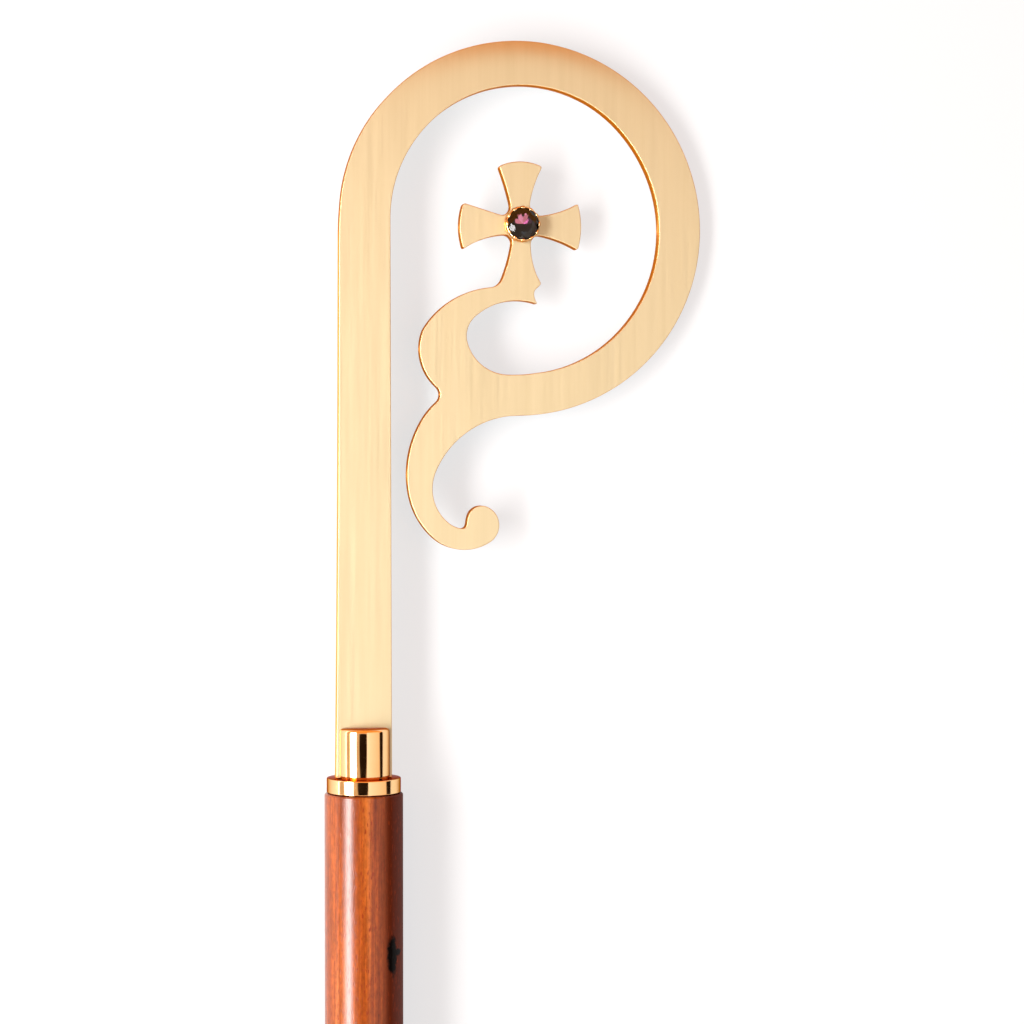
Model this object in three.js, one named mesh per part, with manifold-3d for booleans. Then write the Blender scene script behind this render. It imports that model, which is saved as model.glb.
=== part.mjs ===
// Bishop's crosier: a flat brass crook with a scroll and a cross, standing in a turned brass
// socket on a round wooden staff. It lies on its back: the staff runs along Y with the crook
// at +Y, the jewelled face looks up (+Z), and the crook's far edge touches the floor, so the
// crook leans a few degrees about the staff's axis. Millimetres, +Z up.
//
// The head is drawn in its own frame first: the staff's axis is the Y axis, Y = 0 is the top
// of the socket's collar, X is across the crook and Z is through its thickness.

import * as THREE from 'three';
import Module from 'manifold-3d';
import { mergeVertices } from 'three/addons/utils/BufferGeometryUtils.js';

const wasm = await Module();
wasm.setup();

// ------------------------------------------------------------------ driving dimensions, mm

const TOTAL_LENGTH = 1830;
const STAFF_RADIUS = 16;
const CLEARANCE = 0.3; // left between neighbouring pieces

const PLATE = {
  thickness: 6,
  stemLeft: -11.5, // the stem's two sides where it stands on the collar
  stemRight: 11.2,
};

const SOCKET = {
  collarRadius: 15.1,
  collarHeight: 5.8,
  collarEdge: 0.3,
  bossRadius: 10.7,
  bossHeight: 20.5,
  bossEdge: 1.4, // how far the boss's top edge is rounded down and in
  grooveDepth: 0.4, // a narrow groove is turned in at the boss's foot
  grooveHeight: 0.7,
  sides: 64,
};

const JEWEL = {
  centre: [64.6, 225.2], // on the crossing of the cross's arms
  girdleRadius: 6.3,
  girdleHeight: 0.3,
  tableRadius: 3.7,
  crownHeight: 1.7,
  pavilionDepth: 2.8,
  culetRadius: 1.6,
  sides: 16,
};

const SETTING = {
  baseRadius: 7.3,
  rimRadius: 6.95,
  baseHeight: 0.6, // the foot is a little wider than the cup above it
  cupStart: 1.2,
  floor: 0.8,
  wallTop: 3.6, // the rim's height between two claws
  clawRise: 0.8, // how far a claw stands above it
  claws: 12,
  sidesPerClaw: 6,
};

const STAFF = {
  topEdge: 0.5, // chamfer under the collar
  sides: 48, // one side faces down, and is the small flat that the staff lies on
};

const FERRULE = {
  height: 42,
  wall: 2,
  end: 3,
  edge: 1.0,
};

const ARC_TOLERANCE = 0.03; // how far a chord may stand off its arc
const CORNER_STEPS = 4; // chords in a rounded corner
const LEAST_CHORD = 0.05; // the least share of a chord that a rounded corner leaves
const SAME_PLACE = 1e-4; // points closer than this are one

// --------------------------------------------------------------------- the crook's outline

// The outline is walked clockwise. A step is [x, y, radius, corner]: where it ends, the radius
// of the arc that leads there (positive turns left, negative turns right, 0 is straight), and
// how far the corner at its end is rounded back, if it is a corner.

const STEM_AND_CROWN = [
  [-10.1, 218.4, 25000], // the stem's left side, a shade narrower as it rises
  [-9.4, 233.8, -178],
  [11.8, 278.4, -70.5], // the shoulder
  [71.9, 299.7, -74.8], // over the crown
  [135.2, 249.2, -75.6],
  [63.6, 147.3, -76.4], // down the right side and back underneath
];

const HOOK = [
  [29.2, 124.0, 37.3], // the hook's inner side
  [34.1, 103.9, 17.8],
  [39.8, 101.2, 11],
  [42.0, 103.0, 2],
  [42.6, 106.1, -27],
  [50.5, 110.0, -5.7], // round the knob at its end
  [51.7, 95.6, -8.2],
  [27.7, 97.9, -19.5], // and back up its outer side
  [18.5, 114.6, -31.8],
  [23.6, 145.2, -43.4],
  [29.8, 152.8, -33],
];

const SCROLL_BACK = [
  [29.8, 158.7, 4], // the notch between hook and scroll
  [24.2, 182.1, -21.2, 0.8],
  [51.9, 199.5, -36],
  [56.8, 203.1, 5.9], // into the foot of the cross
  [60.8, 217.4, 65],
];

const SCROLL_FRONT = [
  [68.5, 217.5, 3.6], // down from the cross to the scroll's parted tip
  [71.0, 204.7, 31.6],
  [72.9, 201.1, 0, 0.8],
  [70.4, 198.7, 0],
  [69.9, 196.4, 3.3],
  [71.3, 192.9, 9, 0.6],
  [45.6, 187.6, 26.5], // the scroll's underside
  [42.5, 176.5, 10.5],
  [58.1, 164.0, 17.6],
];

const INNER_LOOP = [
  [71.4, 164.8, 62], // the inner side of the crook, back round to the stem
  [103.9, 180.1, 56.5],
  [119.9, 239.9, 59.7],
  [103.0, 267.4, 63],
  [30.0, 268.8, 54.8],
  [10.75, 226.7, 55.2],
  [PLATE.stemRight, CLEARANCE, 0],
];

// The cross's three free arms. Each widens from the crossing to a bowed end. Of two values the
// first is for the side that is walked first. from is how far out a side starts, neck and tip
// are the half widths there and at the end, flare is the radius of the side, shoulder is how
// far out the tips are, end is the radius of the bowed end, and fillet leads in from the arm
// before.
const CROSSING = [64.3, 224.7];
const TIP_ROUNDING = 1.1;
const ARMS = [
  {
    toward: 180,
    from: [7.1, 8.9],
    neck: [3.7, 4.5],
    tip: [9.8, 9.0],
    flare: [34, 0],
    shoulder: 23.6,
    end: 30,
    fillet: 3.2,
  },
  {
    toward: 90,
    from: [8.9, 9.6],
    neck: [4.2, 3.9],
    tip: [8.9, 9.0],
    flare: [110, 50],
    shoulder: 24.2,
    end: 21,
    fillet: 3.7,
  },
  {
    toward: 0,
    from: [9.0, 8.4],
    neck: [4.3, 3.9],
    tip: [9.4, 9.6],
    flare: [40, 50],
    shoulder: 23.8,
    end: 34,
    fillet: 4.5,
  },
];

function armSteps({ toward, from, neck, tip, flare, shoulder, end, fillet }) {
  const angle = THREE.MathUtils.degToRad(toward);
  const place = (out, aside) => [
    CROSSING[0] + out * Math.cos(angle) - aside * Math.sin(angle),
    CROSSING[1] + out * Math.sin(angle) + aside * Math.cos(angle),
  ];
  return [
    [...place(from[0], neck[0]), fillet],
    [...place(shoulder, tip[0]), flare[0], TIP_ROUNDING],
    [...place(shoulder, -tip[1]), -end, TIP_ROUNDING],
    [...place(from[1], -neck[1]), flare[1]],
  ];
}

function crookSteps() {
  return [
    ...STEM_AND_CROWN,
    ...HOOK,
    ...SCROLL_BACK,
    ...ARMS.flatMap(armSteps),
    ...SCROLL_FRONT,
    ...INNER_LOOP,
  ];
}

// Points along one step, from its start to its end, both included.
function stepPoints(start, end, radius) {
  const chord = end.clone().sub(start);
  const half = chord.length() / 2;
  if (radius === 0) return [start.clone(), end.clone()];
  const turn = 2 * Math.asin(half / Math.abs(radius)) * Math.sign(radius);
  const chordStep = 2 * Math.acos(1 - ARC_TOLERANCE / Math.abs(radius));
  const count = Math.max(1, Math.ceil(Math.abs(turn) / chordStep));
  const middle = start.clone().add(end).multiplyScalar(0.5);
  const toCentre = new THREE.Vector2(-chord.y, chord.x).normalize();
  const centre = middle.addScaledVector(toCentre, radius * Math.cos(turn / 2));
  const points = [];
  for (let i = 0; i <= count; i += 1) {
    points.push(start.clone().rotateAround(centre, (turn * i) / count));
  }
  return points;
}

// Takes a length off the end of a run of points and gives what is left.
function trimmed(points, length) {
  const kept = points.slice();
  let left = length;
  while (kept.length > 2) {
    const last = kept[kept.length - 1].distanceTo(kept[kept.length - 2]);
    if (last > left) break;
    left -= last;
    kept.pop();
  }
  const tip = kept.pop();
  const before = kept[kept.length - 1];
  const reach = tip.distanceTo(before);
  kept.push(before.clone().lerp(tip, Math.max(LEAST_CHORD, 1 - left / reach)));
  return kept;
}

// The corner between two runs becomes a small curve.
function roundCorner(arriving, leaving, size) {
  const corner = arriving[arriving.length - 1].clone();
  const first = trimmed(arriving, size);
  const second = trimmed(leaving.slice().reverse(), size).reverse();
  const curve = new THREE.QuadraticBezierCurve(first[first.length - 1], corner, second[0]);
  return [first, curve.getPoints(CORNER_STEPS), second];
}

function outlinePoints(start, steps) {
  const runs = [];
  let from = new THREE.Vector2(...start);
  for (const [x, y, radius] of steps) {
    const to = new THREE.Vector2(x, y);
    runs.push(stepPoints(from, to, radius));
    from = to;
  }
  const bends = [];
  steps.forEach(([, , , corner], i) => {
    if (!corner) return;
    const [first, bend, second] = roundCorner(runs[i], runs[i + 1], corner);
    runs[i] = first;
    runs[i + 1] = second;
    bends[i] = bend;
  });
  const points = runs.flatMap((run, i) => (bends[i] ? [...run, ...bends[i]] : run));
  return points.filter((p, i) => i === 0 || p.distanceTo(points[i - 1]) > SAME_PLACE);
}

function crookOutline() {
  return outlinePoints([PLATE.stemLeft, CLEARANCE], crookSteps());
}

// ------------------------------------------------------------------------ shape functions

function turned(profile, sides) {
  const points = profile.map(([radius, height]) => new THREE.Vector2(radius, height));
  // Half a side of turn puts a flat side, not an edge, straight down.
  return new THREE.LatheGeometry(points, sides, Math.PI / sides);
}

function toSolid(geometry) {
  const bare = geometry.clone();
  bare.deleteAttribute('normal');
  bare.deleteAttribute('uv');
  const merged = mergeVertices(bare, SAME_PLACE);
  const vertProperties = new Float32Array(merged.attributes.position.array);
  const triVerts = new Uint32Array(merged.index.array);
  return new wasm.Manifold(new wasm.Mesh({ numProp: 3, vertProperties, triVerts }));
}

function toGeometry(solid) {
  const mesh = solid.getMesh();
  const geometry = new THREE.BufferGeometry();
  geometry.setAttribute('position', new THREE.BufferAttribute(mesh.vertProperties, 3));
  geometry.setIndex(new THREE.BufferAttribute(mesh.triVerts, 1));
  geometry.computeVertexNormals();
  return geometry;
}

function crookPlate(outline) {
  const { thickness } = PLATE;
  const shape = new THREE.Shape(outline);
  const geometry = new THREE.ExtrudeGeometry(shape, { depth: thickness, bevelEnabled: false });
  return geometry.translate(0, 0, -thickness / 2);
}

// Collar and boss are turned in one; the boss is then slotted for the plate.
function socket() {
  const { collarRadius, collarHeight, collarEdge, sides } = SOCKET;
  const { bossRadius, bossHeight, bossEdge, grooveDepth, grooveHeight } = SOCKET;
  const body = turned([
    [0, -collarHeight],
    [collarRadius - collarEdge, -collarHeight],
    [collarRadius, collarEdge - collarHeight],
    [collarRadius, -collarEdge],
    [collarRadius - collarEdge, 0],
    [bossRadius - grooveDepth, 0],
    [bossRadius - grooveDepth, grooveHeight],
    [bossRadius, grooveHeight],
    [bossRadius, bossHeight - bossEdge],
    [bossRadius - bossEdge / 4, bossHeight - bossEdge / 2],
    [bossRadius - bossEdge, bossHeight],
    [0, bossHeight],
  ], sides);
  // The slot's box stands on the collar and reaches well past the boss on every other side.
  const slotLength = 4 * bossRadius;
  const slotHeight = 2 * bossHeight;
  const slotWidth = PLATE.thickness + 2 * CLEARANCE;
  const slot = new THREE.BoxGeometry(slotLength, slotHeight, slotWidth);
  slot.translate(0, slotHeight / 2, 0);
  return toGeometry(toSolid(body).subtract(toSolid(slot)));
}

// A cup whose rim rises into claws: the rim's height follows a cosine round the cup.
function jewelSetting() {
  const { baseRadius, baseHeight, rimRadius, cupStart, floor } = SETTING;
  const { wallTop, clawRise, claws, sidesPerClaw } = SETTING;
  const inner = JEWEL.girdleRadius + CLEARANCE;
  const geometry = turned([
    [0, 0],
    [baseRadius, 0],
    [baseRadius, baseHeight],
    [rimRadius, cupStart],
    [rimRadius, wallTop],
    [inner, wallTop],
    [inner, floor],
    [0, floor],
  ], claws * sidesPerClaw);
  const position = geometry.attributes.position;
  for (let i = 0; i < position.count; i += 1) {
    if (Math.abs(position.getY(i) - wallTop) > SAME_PLACE) continue;
    const around = Math.atan2(position.getX(i), position.getZ(i));
    const rise = clawRise * (0.5 + 0.5 * Math.cos(claws * around));
    position.setY(i, wallTop + rise);
  }
  return geometry.rotateX(Math.PI / 2);
}

// A round stone: flat table, sloping crown, thin girdle, shallow back.
function roundStone() {
  const { girdleRadius, girdleHeight, tableRadius, crownHeight } = JEWEL;
  const { pavilionDepth, culetRadius, sides } = JEWEL;
  const geometry = turned([
    [0, 0],
    [culetRadius, 0],
    [girdleRadius, pavilionDepth],
    [girdleRadius, pavilionDepth + girdleHeight],
    [tableRadius, pavilionDepth + girdleHeight + crownHeight],
    [0, pavilionDepth + girdleHeight + crownHeight],
  ], sides);
  return geometry.rotateX(Math.PI / 2);
}

// The staff's lower end is turned down to a tenon for the ferrule.
function woodStaff(top, foot) {
  const shoulder = foot + FERRULE.height + CLEARANCE;
  const tenonRadius = STAFF_RADIUS - FERRULE.wall - CLEARANCE;
  const tenonEnd = foot + FERRULE.end + CLEARANCE;
  return turned([
    [0, tenonEnd],
    [tenonRadius, tenonEnd],
    [tenonRadius, shoulder],
    [STAFF_RADIUS, shoulder],
    [STAFF_RADIUS, top - STAFF.topEdge],
    [STAFF_RADIUS - STAFF.topEdge, top],
    [0, top],
  ], STAFF.sides);
}

function footFerrule(foot) {
  const { height, wall, end, edge } = FERRULE;
  return turned([
    [0, foot],
    [STAFF_RADIUS - edge, foot],
    [STAFF_RADIUS, foot + edge],
    [STAFF_RADIUS, foot + height - edge / 2],
    [STAFF_RADIUS - edge / 2, foot + height],
    [STAFF_RADIUS - wall, foot + height],
    [STAFF_RADIUS - wall, foot + end],
    [0, foot + end],
  ], STAFF.sides);
}

// ------------------------------------------------------------------------------ materials

const satinBrass = new THREE.MeshStandardMaterial({
  color: 0xf1d9a4,
  roughness: 0.35,
  metalness: 1,
});
const polishedBrass = new THREE.MeshStandardMaterial({
  color: 0xe9b45e,
  roughness: 0.08,
  metalness: 1,
});
const varnishedWood = new THREE.MeshStandardMaterial({
  color: 0xb9602b,
  roughness: 0.3,
  metalness: 0,
});
const amethystPurple = new THREE.MeshStandardMaterial({
  color: 0x5a2350,
  roughness: 0.05,
  metalness: 0,
});

function piece(name, geometry, material) {
  const mesh = new THREE.Mesh(geometry, material);
  mesh.name = name;
  return mesh;
}

// ------------------------------------------------------------------------------- assembly

const outline = crookOutline();
const crookTop = Math.max(...outline.map((p) => p.y));
const crookReach = Math.max(...outline.map((p) => p.x));

const staffTop = -SOCKET.collarHeight - CLEARANCE;
const staffFoot = crookTop - TOTAL_LENGTH;

// The lean that brings the far edge of the plate's back down to the level of the staff's flat.
const flatDepth = STAFF_RADIUS * Math.cos(Math.PI / STAFF.sides);
const edgeDown = PLATE.thickness / 2;
const lean =
  Math.asin(flatDepth / Math.hypot(crookReach, edgeDown)) - Math.atan2(edgeDown, crookReach);

const settingBase = PLATE.thickness / 2 + CLEARANCE;
const setting = piece('jewel_setting', jewelSetting(), polishedBrass);
setting.position.set(...JEWEL.centre, settingBase);
const stone = piece('amethyst', roundStone(), amethystPurple);
stone.position.set(...JEWEL.centre, settingBase + SETTING.floor + CLEARANCE);

const head = new THREE.Group();
head.add(piece('crook_plate', crookPlate(outline), satinBrass));
head.add(piece('socket', socket(), polishedBrass));
head.add(setting);
head.add(stone);
head.rotation.y = lean;

const crosier = new THREE.Group();
crosier.add(head);
crosier.add(piece('wood_staff', woodStaff(staffTop, staffFoot), varnishedWood));
crosier.add(piece('foot_ferrule', footFerrule(staffFoot), polishedBrass));

// The origin is the middle of the footprint, on the floor.
const bounds = new THREE.Box3().setFromObject(crosier, true);
const middle = bounds.getCenter(new THREE.Vector3());
crosier.position.set(-middle.x, -middle.y, -bounds.min.z);

export default crosier;
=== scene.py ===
# %% [markdown]
# # A bishop's crosier
#
# The object is a flat brass crook with a scroll and a small cross, standing in a turned brass
# socket on a varnished wooden staff. A round violet stone sits at the crossing of the cross, and
# a brass ferrule closes the foot. The staff lies on a table, on its back, and the crook leans
# a few degrees so that its far edge rests on the table too.
#
# The CAD model gives the sizes and the places. This script dresses it: each piece gets the
# rounded edges, turned profiles and finishes that catch the light. All lengths are in metres,
# and MM turns millimetres into them.

import math

import bmesh
import bpy
import numpy as np
from mathutils import Matrix, Vector, geometry


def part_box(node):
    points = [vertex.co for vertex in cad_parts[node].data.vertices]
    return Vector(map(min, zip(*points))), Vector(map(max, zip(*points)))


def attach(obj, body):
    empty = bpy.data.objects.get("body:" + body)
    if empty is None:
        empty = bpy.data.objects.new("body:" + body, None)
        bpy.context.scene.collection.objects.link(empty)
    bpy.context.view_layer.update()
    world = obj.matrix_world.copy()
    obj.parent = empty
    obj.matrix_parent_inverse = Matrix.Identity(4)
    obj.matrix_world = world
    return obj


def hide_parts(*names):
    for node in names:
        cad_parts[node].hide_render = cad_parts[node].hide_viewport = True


MM = 0.001
SAME_PLACE = 0.0001 * MM  # points of a new mesh closer than this are one point
TOUCHING = 0.001 * MM  # closer than this counts as touching
NEARLY_ZERO = 1e-9

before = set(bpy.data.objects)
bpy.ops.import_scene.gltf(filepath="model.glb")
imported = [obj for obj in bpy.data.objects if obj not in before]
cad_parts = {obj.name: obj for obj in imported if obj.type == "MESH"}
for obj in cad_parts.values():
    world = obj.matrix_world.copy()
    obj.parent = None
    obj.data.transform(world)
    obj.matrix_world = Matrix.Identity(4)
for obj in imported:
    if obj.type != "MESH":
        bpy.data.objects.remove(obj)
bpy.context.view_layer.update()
print("nodes:", ", ".join(sorted(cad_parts)))

# %% [markdown]
# ## Where things are
#
# The head (crook, socket, setting and stone) was drawn in its own frame: the staff's axis is Y,
# Y = 0 is the top of the socket's collar, and Z goes through the plate. The CAD model then
# leans it about the staff's axis. The lean is read back from the plate itself: the largest
# flat area of its mesh is its face, and that face's normal leans by the angle we want. Every
# head piece can then be drawn upright and carried over by one matrix.

# %% Places read from the frame
CLEARANCE = 0.3 * MM  # between the plate's foot and the collar


def face_normal(node):
    """The direction that most of a node's upper surface looks in."""
    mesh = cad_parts[node].data
    facing_up = [p for p in mesh.polygons if p.normal.z > 0.9]
    total = sum((p.normal * p.area for p in facing_up), Vector())
    return total.normalized()


plate_low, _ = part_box("crook_plate")
staff_low, staff_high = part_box("wood_staff")
staff_axis = (staff_low + staff_high) / 2
STAFF_RADIUS = (staff_high.x - staff_low.x) / 2
COLLAR_TOP = plate_low.y - CLEARANCE

plate_normal = face_normal("crook_plate")
LEAN = math.atan2(plate_normal.x, plate_normal.z)
HEAD = Matrix.Translation((staff_axis.x, COLLAR_TOP, staff_axis.z)) @ Matrix.Rotation(LEAN, 4, "Y")
print(f"lean {math.degrees(LEAN):.2f} degrees, staff radius {STAFF_RADIUS / MM:.2f} mm")

# %% [markdown]
# ## Small helpers
#
# Colours are written as sRGB hex values, as a paint chart gives them, and one function turns
# them to the linear values that the renderer wants. One more function adds a shader or
# geometry node with its settings and links, so that a material reads from top to bottom. The
# last two turn plain lists of points and faces into an object at the origin, and close and
# smooth its mesh.


# %% Helpers for colours, nodes and meshes
def linear(hex_colour):
    """An sRGB hex colour as linear red, green, blue and alpha."""
    channels = [int(hex_colour[i : i + 2], 16) / 255 for i in (1, 3, 5)]
    turned_linear = [c / 12.92 if c <= 0.04045 else ((c + 0.055) / 1.055) ** 2.4 for c in channels]
    return (*turned_linear, 1.0)


def grey(value):
    """A linear grey, for the strength of a light."""
    return (value, value, value, 1.0)


def add_node(tree, kind, inputs=None, stops=None, **settings):
    """Adds a node. settings are its properties, inputs are socket values or sockets to link."""
    node = tree.nodes.new(kind)
    for name, value in settings.items():
        setattr(node, name, value)
    for name, value in (inputs or {}).items():
        if isinstance(value, bpy.types.NodeSocket):
            tree.links.new(value, node.inputs[name])
        else:
            node.inputs[name].default_value = value
    for i, (place, value) in enumerate(stops or []):
        elements = node.color_ramp.elements
        element = elements[i] if i < 2 else elements.new(place)
        element.position = place
        element.color = value
    return node


def new_material(name):
    """An empty node material with its shader and output joined."""
    material = bpy.data.materials.new(name)
    material.use_nodes = True
    tree = material.node_tree
    tree.nodes.clear()
    shader = add_node(tree, "ShaderNodeBsdfPrincipled")
    add_node(tree, "ShaderNodeOutputMaterial", {"Surface": shader.outputs["BSDF"]})
    return material, tree, shader


def mesh_object(name, points, faces, place=Matrix.Identity(4)):
    """An object at the origin, with its place in its mesh."""
    mesh = bpy.data.meshes.new(name)
    mesh.from_pydata([place @ Vector(p) for p in points], [], faces)
    mesh.validate()
    piece = bpy.data.objects.new(name, mesh)
    bpy.context.scene.collection.objects.link(piece)
    return piece


def print_material(material):
    """Prints a material's name and the number of its nodes, and hands it back."""
    print(f"{material.name}: {len(material.node_tree.nodes)} nodes")
    return material


def tidy_mesh(piece, smooth_angle=30.0):
    """Merges doubles, turns the faces outward and smooths edges that bend less than the angle."""
    bm = bmesh.new()
    bm.from_mesh(piece.data)
    bmesh.ops.remove_doubles(bm, verts=bm.verts, dist=SAME_PLACE)
    bmesh.ops.recalc_face_normals(bm, faces=bm.faces)
    bm.to_mesh(piece.data)
    open_edges = sum(not e.is_manifold for e in bm.edges)
    bm.free()
    piece.data.shade_smooth()
    piece.data.set_sharp_from_angle(angle=math.radians(smooth_angle))
    triangles = sum(len(p.vertices) - 2 for p in piece.data.polygons)
    print(f"{piece.name}: {triangles} triangles, {open_edges} open edges")
    return piece


# %% [markdown]
# ## The camera
#
# The camera looks straight down on the lying staff from about a metre, from a little to the
# left, with its up side along the staff. A long lens on a 36 mm wide sensor keeps the far parts
# of the crook from shrinking.

# %% Camera
CAMERA_PLACE = (-128.14, 129.14, 1065.58)
CAMERA_TARGET = (60.67, 107.89, 3.0)
LENS = 92.86

camera_data = bpy.data.cameras.new("camera")
camera_data.lens = LENS
camera_data.sensor_width = 36.0
camera_data.clip_start = 0.05
camera_data.clip_end = 50.0
camera = bpy.data.objects.new("camera", camera_data)
bpy.context.scene.collection.objects.link(camera)

eye = HEAD @ (Vector(CAMERA_PLACE) * MM)
aim = HEAD @ (Vector(CAMERA_TARGET) * MM)
back = (eye - aim).normalized()
right = Vector((0, 1, 0)).cross(back).normalized()
up = back.cross(right)
camera.matrix_world = Matrix.Translation(eye) @ Matrix((right, up, back)).transposed().to_4x4()
bpy.context.scene.camera = camera
print(f"camera {(eye - aim).length:.3f} m from the crook")

# %% [markdown]
# ## The lamps
#
# Polished brass shows mostly what surrounds it, so the lamps are laid out for their
# reflections. A bright strip stands to the left and a wide, weak card to the right, with a dark
# gap between them over the staff. In a round bar these become the stripes that say "polished
# metal". Strip and card fade across their width, as a diffuser's edges do, so that the stripes
# have soft sides: the fade is a ramp inside the lamp's own light nodes. A second strip lies
# low on the left for the edges that look that way, and a weak lamp past the foot fills the
# shadows.


# %% Lamps
def strip_light(name, low_angle, high_angle, distance, y_from, y_to, power, stops):
    """A soft box seen from the staff between two angles from overhead, positive to the right.

    Lengths are in metres, and power is in watts for each square metre of the box. stops are
    the shades across it, from the left edge to the right one."""
    ends = []
    for angle in (low_angle, high_angle):
        turn = math.radians(angle)
        ends.append(Vector((math.sin(turn), 0, math.cos(turn))) * distance)
    across = ends[1] - ends[0]
    middle = (ends[0] + ends[1]) / 2
    x_axis = across.normalized()
    z_axis = middle.normalized()
    y_axis = z_axis.cross(x_axis)
    light = bpy.data.lights.new(name, "AREA")
    light.shape = "RECTANGLE"
    light.size = across.length
    light.size_y = y_to - y_from
    light.energy = power * light.size * light.size_y
    light.use_nodes = True
    tree = light.node_tree
    tree.nodes.clear()
    on_lamp = add_node(tree, "ShaderNodeNewGeometry").outputs["Parametric"]
    across_lamp = add_node(tree, "ShaderNodeSeparateXYZ", {"Vector": on_lamp})
    shade = add_node(tree, "ShaderNodeValToRGB", {"Fac": across_lamp.outputs["X"]}, stops=stops)
    glow = add_node(tree, "ShaderNodeEmission", {"Color": shade.outputs["Color"], "Strength": 1.0})
    add_node(tree, "ShaderNodeOutputLight", {"Surface": glow.outputs["Emission"]})
    lamp = bpy.data.objects.new(name, light)
    bpy.context.scene.collection.objects.link(lamp)
    centre = Vector((staff_axis.x, (y_from + y_to) / 2, staff_axis.z)) + middle
    turned_to = Matrix((x_axis, y_axis, z_axis)).transposed().to_4x4()
    lamp.matrix_world = Matrix.Translation(centre) @ turned_to
    lamp.visible_camera = False


STRIP_SHADES = [
    (0.0, grey(0.12)),
    (0.25, grey(0.25)),
    (0.45, grey(1.0)),
    (0.72, grey(1.0)),
    (0.9, grey(0.25)),
    (1.0, grey(0.12)),
]
# The card is daylight blue by the gap and turns to a warm grey at its far side.
CARD_SHADES = [(0.0, linear("#cbe7ff")), (0.35, linear("#becbd6")), (1.0, linear("#a29081"))]
EVEN = [(0.0, grey(1.0)), (1.0, grey(1.0))]
# Name, two edges in degrees, distance, two ends along the staff, power and shades.
LAMPS = [
    ("left_strip", -64.0, -33.5, 1.2, -0.45, 1.15, 84.0, STRIP_SHADES),
    ("low_left_strip", -88.5, -81.0, 0.55, -0.45, 1.15, 9.0, EVEN),
    ("right_card", 12.5, 72.5, 1.0, -0.9, 1.08, 2.9, CARD_SHADES),
]
for lamp_settings in LAMPS:
    strip_light(*lamp_settings)

FOOT_FILL = {"size": 1.2, "power": 3.0, "place": (0.05, -1.1, 1.0), "aim": (0.0, 0.4, 0.0)}
fill_data = bpy.data.lights.new("foot_fill", "AREA")
fill_data.shape = "SQUARE"
fill_data.size = FOOT_FILL["size"]
fill_data.energy = FOOT_FILL["power"] * FOOT_FILL["size"] ** 2
fill = bpy.data.objects.new("foot_fill", fill_data)
bpy.context.scene.collection.objects.link(fill)
fill_place = Vector(FOOT_FILL["place"])
fill_way = Vector(FOOT_FILL["aim"]) - fill_place
fill_turn = fill_way.to_track_quat("-Z", "Y").to_matrix().to_4x4()
fill.matrix_world = Matrix.Translation(fill_place) @ fill_turn
fill.visible_camera = False
print("lamps:", ", ".join(light.name for light in bpy.data.lights))

# %% [markdown]
# ## The room
#
# The room fills what the lamps leave empty, and brass takes on its colour too. The walls are a
# warm cream, and a deeper orange past the crook's head, which gives the top of the crown its
# glow. Overhead, where the camera stands, there is a dark oval, and a dark screen stands low on
# the right: polished metal with nothing dark to mirror looks like plastic.

# %% Room
# The oval is placed and sized by slopes: how far sideways for each metre up.
GAP_MIDDLE = (-0.08, -0.12, 0)
GAP_HALF = (0.30, 0.22, 1e6)  # the last value is so large that height stops counting

world = bpy.data.worlds.new("studio")
world.use_nodes = True
bpy.context.scene.world = world
surroundings = world.node_tree
surroundings.nodes.clear()
direction = add_node(surroundings, "ShaderNodeTexCoord").outputs["Generated"]
parts = add_node(surroundings, "ShaderNodeSeparateXYZ", {"Vector": direction})
# Warm walls all round, a deeper orange beyond the crook's head.
beyond_head = add_node(
    surroundings,
    "ShaderNodeMapRange",
    {"Value": parts.outputs["Y"], "From Min": 0.15, "From Max": 0.42, "To Min": 0.0, "To Max": 1.0},
)
walls = add_node(
    surroundings,
    "ShaderNodeMix",
    {"Factor": beyond_head.outputs["Result"], "A": linear("#e2c4aa"), "B": linear("#f59a48")},
    data_type="RGBA",
)
# The dark oval overhead, where the camera stands.
flattened = add_node(
    surroundings,
    "ShaderNodeVectorMath",
    {0: direction, 1: parts.outputs["Z"]},
    operation="DIVIDE",
)
oval = add_node(
    surroundings,
    "ShaderNodeMapping",
    {"Vector": flattened.outputs["Vector"], "Location": GAP_MIDDLE, "Scale": GAP_HALF},
    vector_type="TEXTURE",
)
from_gap = add_node(
    surroundings,
    "ShaderNodeVectorMath",
    {0: oval.outputs["Vector"]},
    operation="LENGTH",
)
gap = add_node(
    surroundings,
    "ShaderNodeMapRange",
    {
        "Value": from_gap.outputs["Value"],
        "From Min": 0.88,
        "From Max": 1.1,
        "To Min": 1.0,
        "To Max": 0.0,
    },
    interpolation_type="SMOOTHSTEP",
)
# A dark screen low on the right.
screen = add_node(
    surroundings,
    "ShaderNodeMapRange",
    {"Value": parts.outputs["X"], "From Min": 0.93, "From Max": 0.96, "To Min": 0.0, "To Max": 1.0},
    interpolation_type="SMOOTHSTEP",
)
dark = add_node(
    surroundings,
    "ShaderNodeMath",
    {0: gap.outputs["Result"], 1: screen.outputs["Result"]},
    operation="MAXIMUM",
)
tint = add_node(
    surroundings,
    "ShaderNodeMix",
    {"Factor": dark.outputs["Value"], "A": walls.outputs[2], "B": linear("#24170e")},
    data_type="RGBA",
)
brightness = add_node(
    surroundings,
    "ShaderNodeMapRange",
    {"Value": beyond_head.outputs["Result"], "To Min": 1.0, "To Max": 1.4},
)
sky = add_node(
    surroundings,
    "ShaderNodeBackground",
    {"Color": tint.outputs[2], "Strength": brightness.outputs["Result"]},
)
add_node(surroundings, "ShaderNodeOutputWorld", {"Surface": sky.outputs["Background"]})
bpy.context.scene.view_settings.view_transform = "Standard"
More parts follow.
